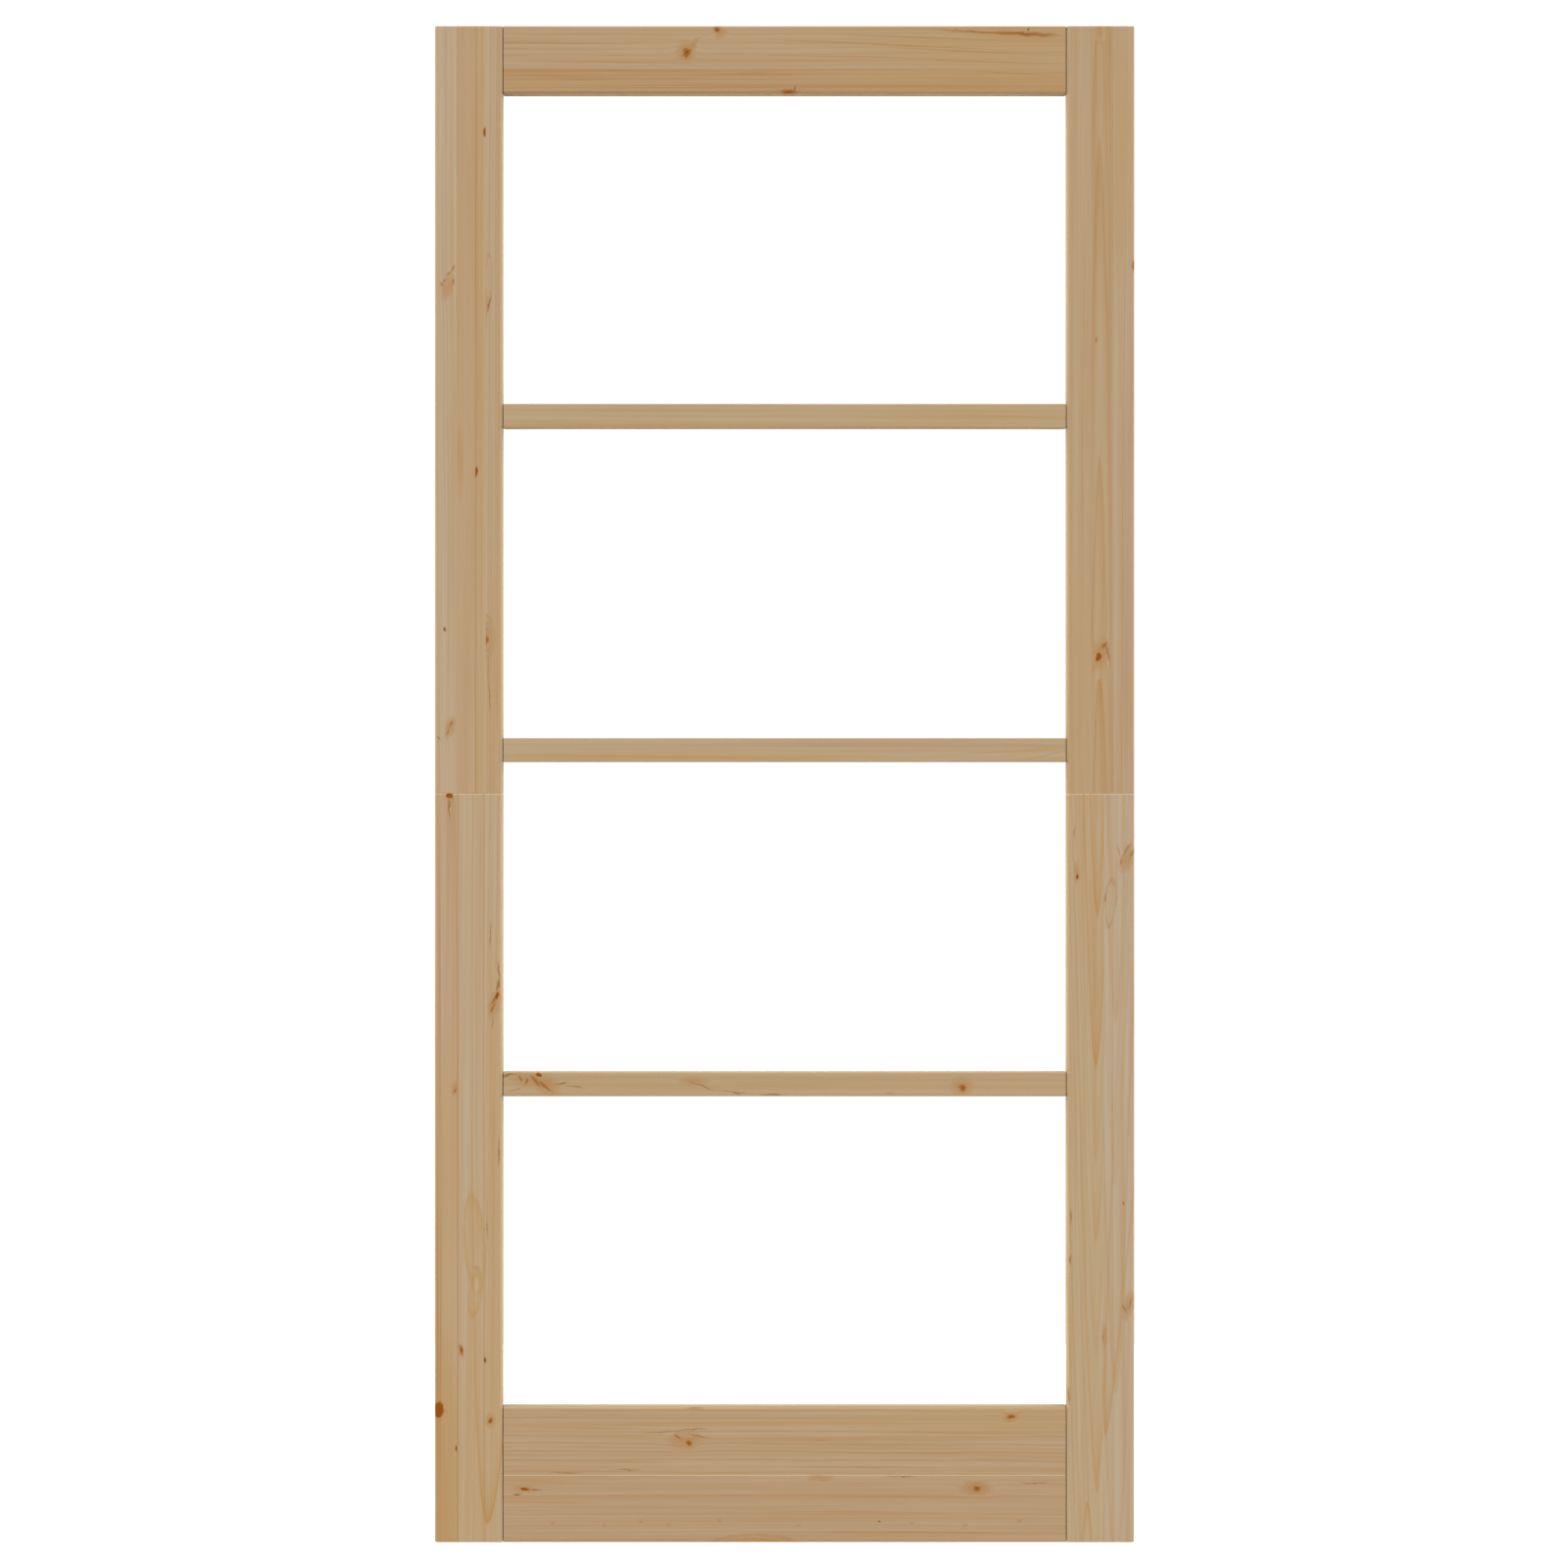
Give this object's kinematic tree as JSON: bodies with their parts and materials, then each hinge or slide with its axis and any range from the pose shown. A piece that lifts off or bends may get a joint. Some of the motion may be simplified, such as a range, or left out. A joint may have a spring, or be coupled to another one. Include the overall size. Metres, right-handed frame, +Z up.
{
  "type": "glazed interior door leaf",
  "caption": "Interior door leaf in bare pine with stacked clear glass lights between level glazing bars, ready to be hung on hinges or a track.",
  "frame": {"origin": "foot of the hinge edge, in the middle of the leaf's thickness", "axes": "+X from the hinge edge to the lock edge, +Y from the front face to the back face, +Z up"},
  "size_m": [0.93, 0.04, 2.015],
  "materials": {
    "pine": "planed and sanded, unpainted",
    "clear_glass": "clear, toughened, arrised edges",
    "silicone_seal": "matt, extruded",
    "beech_dowel": "turned"
  },
  "bodies": {
    "root": {"left_upper_stile": "pine", "left_lower_stile": "pine", "right_upper_stile": "pine", "right_lower_stile": "pine", "top_rail": "pine", "bottom_rail_upper_board": "pine", "bottom_rail_lower_board": "pine", "glazing_bar_1": "pine", "glazing_bar_2": "pine", "glazing_bar_3": "pine", "glass_pane_1": "clear_glass", "glass_pane_2": "clear_glass", "glass_pane_3": "clear_glass", "glass_pane_4": "clear_glass", "glazing_seal_1": "silicone_seal", "glazing_seal_2": "silicone_seal", "glazing_seal_3": "silicone_seal", "glazing_seal_4": "silicone_seal", "left_splice_dowels": "beech_dowel", "right_splice_dowels": "beech_dowel", "top_rail_dowels": "beech_dowel", "bottom_rail_dowels": "beech_dowel", "bottom_board_dowels": "beech_dowel", "glazing_bar_dowels": "beech_dowel"}
  },
  "joints": []
}
